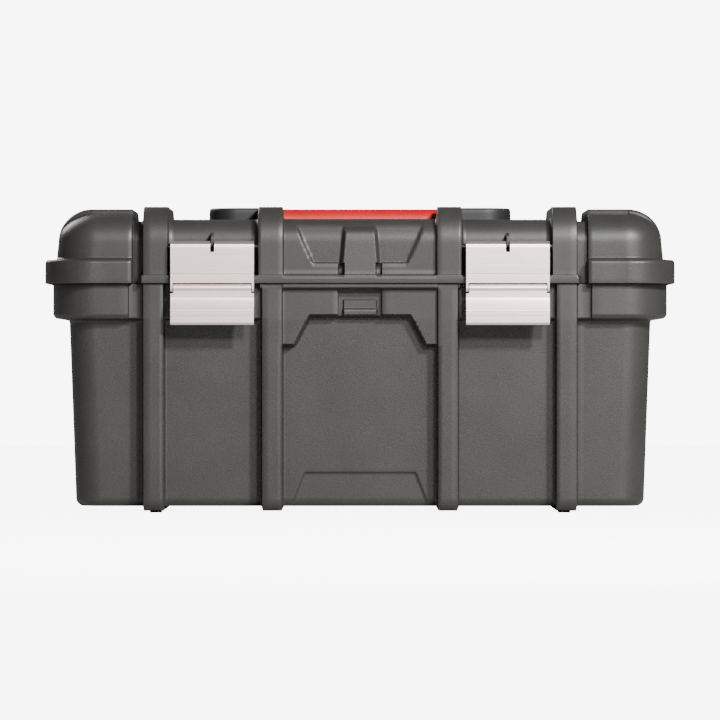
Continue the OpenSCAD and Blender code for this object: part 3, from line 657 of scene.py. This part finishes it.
def anodised_aluminium():
    """Blasted, clear anodised aluminium: die lines along X every 0.8 mm, over a fine blast."""
    material, tree, shader, place = new_material("anodised aluminium")
    stretch = add_node(tree, "ShaderNodeMapping", [(place, "Vector")])
    stretch.inputs["Scale"].default_value = (1 / (90 * MM), 1 / (0.8 * MM), 1 / (0.8 * MM))
    lines = add_node(tree, "ShaderNodeTexNoise", [(stretch.outputs[0], "Vector")], Scale=1.0,
                     Detail=3.0, Roughness=0.6)
    blast = add_node(tree, "ShaderNodeTexNoise", [(place, "Vector")], Scale=1 / (0.7 * MM),
                     Detail=2.0)
    tint = add_node(tree, "ShaderNodeValToRGB", [(lines.outputs["Fac"], "Fac")])
    tint.color_ramp.elements[0].position = 0.3
    tint.color_ramp.elements[0].color = linear("#F0DDD9")
    tint.color_ramp.elements[1].position = 0.7
    tint.color_ramp.elements[1].color = linear("#FFF0EC")
    tree.links.new(tint.outputs["Color"], shader.inputs["Base Color"])
    dull = add_node(tree, "ShaderNodeMapRange", [(blast.outputs["Fac"], "Value")], To_Min=0.36,
                    To_Max=0.48)
    tree.links.new(dull.outputs["Result"], shader.inputs["Roughness"])
    height = add_node(tree, "ShaderNodeMath", [(lines.outputs["Fac"], 0),
                                               (blast.outputs["Fac"], 1)], operation="ADD")
    bump = add_node(tree, "ShaderNodeBump", [(height.outputs[0], "Height")], Strength=0.35,
                    Distance=0.06 * MM)
    tree.links.new(bump.outputs["Normal"], shader.inputs["Normal"])
    shader.inputs["Metallic"].default_value = 1.0
    return material


anodised = anodised_aluminium()
for side in ("left", "right"):
    plate = cad_copy(f"latch_plate_{side}", 0.18)
    fit_on(plate, f"latch_{side}", "latch_metal", anodised, f"latch_plate_{side}")
    lever = cad_copy(f"latch_lever_{side}", 0.18)
    fit_on(lever, f"lever_{side}", "latch_metal", anodised, f"latch_lever_{side}")


# ---- Carry handle ----------------------------------------------------------------------------
# A stiff black bail, moulded in glass-filled nylon, with a soft red grip moulded over its bar.
# Its arms turn on the pins in the posts, and it folds flat into the pocket.

REACH, GRIP_HALF, BEND_R, CORE_R = 72.0, 82.0, 14.0, 8.0


def swept(name, path, across_dir, half_width, half_height, power=9.0, around=56):
    """A section carried along a level path, closed at both ends.

    At each place the section is the superellipse |a/w|^p + |b/h|^p = 1, with a measured along
    across_dir and b upward.
    """
    a = np.linspace(0, 2 * np.pi, around, endpoint=False)
    c, s = np.cos(a), np.sin(a)
    bend = np.sign(c) * np.abs(c) ** (2 / power)
    rise = np.sign(s) * np.abs(s) ** (2 / power)
    side = half_width[:, None] * bend[None, :]
    points = path[:, None, :] + side[..., None] * across_dir[:, None, :]
    points[..., 2] += half_height[:, None] * rise[None, :]
    caps = np.repeat(path[[0, -1]][:, None, :], around, axis=1)
    points = np.concatenate([caps[:1], points, caps[1:]])
    obj = grid_mesh(name, points, merge=0.03)
    crisp(obj)
    return obj


def bail_path():
    """The right half of the bail, from its rounded end behind the pivot to the middle of the bar.

    Straight arm, quarter turn of radius BEND_R, straight bar; with the outward direction and
    the section's half sizes at each place.
    """
    arm_x = HANDLE_HALF - ARM_W / 2
    back = HANDLE_R * np.sin(np.radians([89.0, 84, 77, 68, 57, 44, 30, 15]))
    arm_y = np.concatenate([back, np.linspace(0, -REACH + BEND_R, 12)])
    height = np.concatenate([np.sqrt(HANDLE_R ** 2 - back ** 2), np.full(12, HANDLE_R)])
    turn = np.radians(np.linspace(0, 90, 12))[1:]
    hub_x, hub_y = arm_x - BEND_R, -REACH + BEND_R
    bar_x = np.concatenate([np.linspace(hub_x, GRIP_HALF + 4, 6)[1:],
                            GRIP_HALF + np.array([1.2, 0.6, 0.2]), [GRIP_HALF, 60, 30, 0]])
    bar_r = np.concatenate([np.full(5, HANDLE_R), HANDLE_R - np.array([0.0, 0.3, 1.0]),
                            np.full(4, CORE_R)])
    x = np.concatenate([np.full(len(arm_y), arm_x), hub_x + BEND_R * np.cos(turn), bar_x])
    y = np.concatenate([arm_y, hub_y - BEND_R * np.sin(turn), np.full(len(bar_x), -REACH)])
    out_x = np.concatenate([np.ones(len(arm_y)), np.cos(turn), 0 * bar_x])
    out_y = np.concatenate([0 * arm_y, -np.sin(turn), np.full(len(bar_x), -1.0)])
    wide = mix(ARM_W / 2, HANDLE_R, smooth(turn, 0.2, math.pi / 2))
    width = np.concatenate([np.full(len(arm_y), ARM_W / 2), wide, bar_r])
    height = np.concatenate([height, np.full(len(turn), HANDLE_R), bar_r])
    return x, y, out_x, out_y, width, height


x, y, out_x, out_y, width, height = bail_path()
x = np.concatenate([x, -x[-2::-1]])
y, out_y, width, height = (np.concatenate([v, v[-2::-1]]) for v in (y, out_y, width, height))
out_x = np.concatenate([out_x, -out_x[-2::-1]])
path = np.stack([x, y, np.full(len(x), PIVOT_Z)], axis=-1)
bail = swept("handle_bail", path, np.stack([out_x, out_y, 0 * x], axis=-1), width, height)
# Glass-filled nylon: near black, satin, its flow marks just visible as a faint cloudiness.
black_nylon = moulded_plastic("black nylon", "#232324", "#1C1C1D", roughness=0.55, grain_mm=1.1,
                              depth_mm=0.16)
fit_on(bail, "handle", "black_plastic", black_nylon, "handle_frame")

grip_x = GRIP_HALF * np.sin(np.radians(np.concatenate([np.linspace(-90, -60, 12),
                                                       np.linspace(-55, 55, 23),
                                                       np.linspace(60, 90, 12)])))
from_end = GRIP_HALF - np.abs(grip_x)
shoulder = np.sqrt(np.clip(1 - (1 - np.clip(from_end / 1.6, 0, 1)) ** 2, 0, 1))
grip_r = 10.6 + 1.6 * shoulder
grip_path = np.stack([grip_x, np.full(len(grip_x), -REACH), np.full(len(grip_x), PIVOT_Z)], -1)
outward = np.tile([0.0, -1.0, 0.0], (len(grip_x), 1))
grip = swept("soft_grip", grip_path, outward, grip_r, grip_r, power=2.3, around=56)
# Thermoplastic rubber: saturated red, soft sheen, a fine matt texture from the mould.
red_rubber = moulded_plastic("red thermoplastic rubber", "#B80D08", "#A30A06", roughness=0.46,
                             grain_mm=1.2, depth_mm=0.22)
fit_on(grip, "handle", "red_grip", red_rubber, "handle_grip")


# ---- Tray ------------------------------------------------------------------------------------
# The tray is a thin black polypropylene moulding that hangs by its flange on the body's ledge.
# Two loose dividers stand in its grooves, and a red loop, pegged into its spine, lifts it.

black_polypropylene = moulded_plastic("black polypropylene", "#242425", "#1D1D1E", roughness=0.48,
                                      grain_mm=1.2, depth_mm=0.2)
red_polypropylene = moulded_plastic("red polypropylene", "#B0100B", "#9C0D09", roughness=0.4,
                                    grain_mm=1.2, depth_mm=0.16)
fit_on(cad_copy("tray", 0.7), "tray", "black_plastic", black_polypropylene, "tray")
for side in ("left", "right"):
    node = f"tray_divider_{side}"
    fit_on(cad_copy(node, 0.6), "tray", "red_plastic", red_polypropylene, node)
fit_on(cad_copy("tray_handle", 1.8, 4), "tray", "red_plastic", red_polypropylene, "tray_handle")


# ---- Studio --------------------------------------------------------------------------------
# A plain white sweep under two large soft lights, one beside the camera and one on the right.

def flat_sheet(name, corners, material):
    """A single four-cornered face in metres for the floor."""
    mesh = bpy.data.meshes.new(name)
    mesh.from_pydata(corners, [], [(0, 1, 2, 3)])
    obj = bpy.data.objects.new(name, mesh)
    bpy.context.collection.objects.link(obj)
    mesh.materials.append(material)
    return obj


def area_light(name, place, target, size, power):
    """A square soft light at place, aimed at target, with power in watts."""
    data = bpy.data.lights.new(name, "AREA")
    data.shape = "SQUARE"
    data.size = size
    data.energy = power
    obj = bpy.data.objects.new(name, data)
    bpy.context.collection.objects.link(obj)
    obj.location = place
    obj.rotation_euler = aim(place, target)
    return obj


def aim(place, target):
    """The turn that points an object's -Z axis from place at target with +Y upward."""
    return (Vector(target) - Vector(place)).to_track_quat("-Z", "Y").to_euler()


paper, tree, shader, place = new_material("white paper sweep")
fibre = add_node(tree, "ShaderNodeTexNoise", [(place, "Vector")], Scale=60.0, Detail=4.0)
tone = add_node(tree, "ShaderNodeValToRGB", [(fibre.outputs["Fac"], "Fac")])
tone.color_ramp.elements[0].color = linear("#B4B4B2")
tone.color_ramp.elements[1].color = linear("#BEBEBC")
tree.links.new(tone.outputs["Color"], shader.inputs["Base Color"])
shader.inputs["Roughness"].default_value = 0.9
shader.inputs["Emission Color"].default_value = (1, 1, 1, 1)
seen = add_node(tree, "ShaderNodeLightPath")
lift = add_node(tree, "ShaderNodeMath", [(seen.outputs["Is Camera Ray"], 0)], operation="MULTIPLY")
lift.inputs[1].default_value = 7.0
tree.links.new(lift.outputs[0], shader.inputs["Emission Strength"])
FLOOR = 6.0
flat_sheet("floor", [(-FLOOR, -FLOOR, 0), (FLOOR, -FLOOR, 0), (FLOOR, FLOOR, 0), (-FLOOR, FLOOR, 0)],
           paper)

# The wall behind is white to the camera, and lights the box only a little
world = bpy.data.worlds.new("studio")
bpy.context.scene.world = world
world.use_nodes = True
sky = world.node_tree
ray = add_node(sky, "ShaderNodeLightPath")
glow = add_node(sky, "ShaderNodeMapRange", [(ray.outputs["Is Camera Ray"], "Value")], To_Min=0.14,
                To_Max=8.0)
sky.links.new(glow.outputs["Result"], sky.nodes["Background"].inputs["Strength"])
sky.nodes["Background"].inputs["Color"].default_value = (1, 1, 1, 1)
MIDDLE_Z = 136.6 * MM
area_light("key from the right", (1.25, -2.2, 1.6), (0, 0, MIDDLE_Z), 0.25, 135)
area_light("second light beside the camera", (0.7, -2.6, 1.2), (0, 0, MIDDLE_Z), 0.3, 60)
area_light("soft light from behind", (-1.6, 2.6, 1.7), (0, 0, MIDDLE_Z), 1.2, 48)

# The camera looks straight at the front from the height of the box's middle
CAMERA_AWAY = 8.0
camera_data = bpy.data.cameras.new("camera")
camera = bpy.data.objects.new("camera", camera_data)
bpy.context.collection.objects.link(camera)
camera.location = (0, -0.150 - CAMERA_AWAY, MIDDLE_Z)
camera.rotation_euler = (math.pi / 2, 0, 0)
camera_data.sensor_width = 36
camera_data.lens = 36 * CAMERA_AWAY * 1.12 / 0.720
bpy.context.scene.camera = camera
